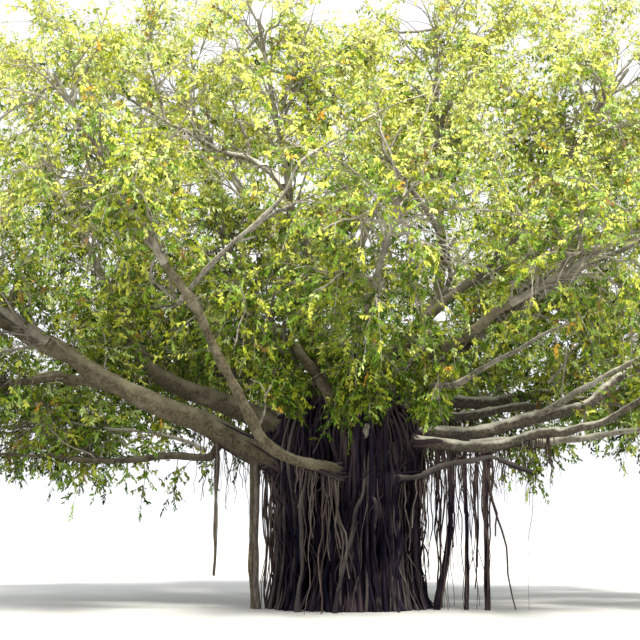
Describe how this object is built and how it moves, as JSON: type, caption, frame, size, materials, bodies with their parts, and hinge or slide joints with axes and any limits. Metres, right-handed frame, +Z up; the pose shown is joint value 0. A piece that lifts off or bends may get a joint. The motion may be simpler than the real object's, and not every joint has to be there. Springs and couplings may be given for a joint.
{
  "type": "banyan tree",
  "caption": "Broad banyan tree: a thick trunk of fused aerial roots, long spreading boughs, hanging prop roots and a wide leafy crown.",
  "frame": {"origin": "on the flat cut under the trunk, at its middle, at ground level", "axes": "+Z up along the trunk, -Y towards the side that the picture shows, +X to the picture's right"},
  "size_m": [22.6964, 20.0267, 14.6402],
  "materials": {
    "trunk_bark": "rough",
    "bough_bark": "rough",
    "root_bark": "rough",
    "foliage": "matte"
  },
  "bodies": {
    "root": {"bough_back": "bough_bark", "bough_back_left": "bough_bark", "bough_back_low_left": "bough_bark", "bough_back_low_right": "bough_bark", "bough_back_right": "bough_bark", "bough_front": "bough_bark", "bough_front_left": "bough_bark", "bough_front_right": "bough_bark", "bough_inner_front": "bough_bark", "bough_inner_left": "bough_bark", "bough_inner_right": "bough_bark", "bough_left_fork": "bough_bark", "bough_left_low": "bough_bark", "bough_left_thin": "bough_bark", "bough_left_upper": "bough_bark", "bough_right_front": "bough_bark", "bough_right_inner": "bough_bark", "bough_right_low": "bough_bark", "bough_right_mid": "bough_bark", "bough_right_rising": "bough_bark", "bough_right_stub": "bough_bark", "bough_right_upper": "bough_bark", "bough_top_back": "bough_bark", "bough_top_front": "bough_bark", "bough_top_left": "bough_bark", "bough_top_middle": "bough_bark", "leaves_back": "foliage", "leaves_back_left": "foliage", "leaves_back_low_left": "foliage", "leaves_back_low_right": "foliage", "leaves_back_right": "foliage", "leaves_front": "foliage", "leaves_front_left": "foliage", "leaves_front_right": "foliage", "leaves_inner_front": "foliage", "leaves_inner_left": "foliage", "leaves_inner_right": "foliage", "leaves_left_fork": "foliage", "leaves_left_low": "foliage", "leaves_left_thin": "foliage", "leaves_left_upper": "foliage", "leaves_right_front": "foliage", "leaves_right_inner": "foliage", "leaves_right_low": "foliage", "leaves_right_mid": "foliage", "leaves_right_rising": "foliage", "leaves_right_upper": "foliage", "leaves_top_back": "foliage", "leaves_top_front": "foliage", "leaves_top_left": "foliage", "leaves_top_middle": "foliage", "root_back_prop": "root_bark", "root_back_prop_right": "root_bark", "root_left_hanger_long": "root_bark", "root_left_prop": "root_bark", "root_right_hanger_near": "root_bark", "root_right_prop_far": "root_bark", "root_right_prop_mid": "root_bark", "root_right_prop_near": "root_bark", "trunk": "trunk_bark"}
  },
  "joints": []
}
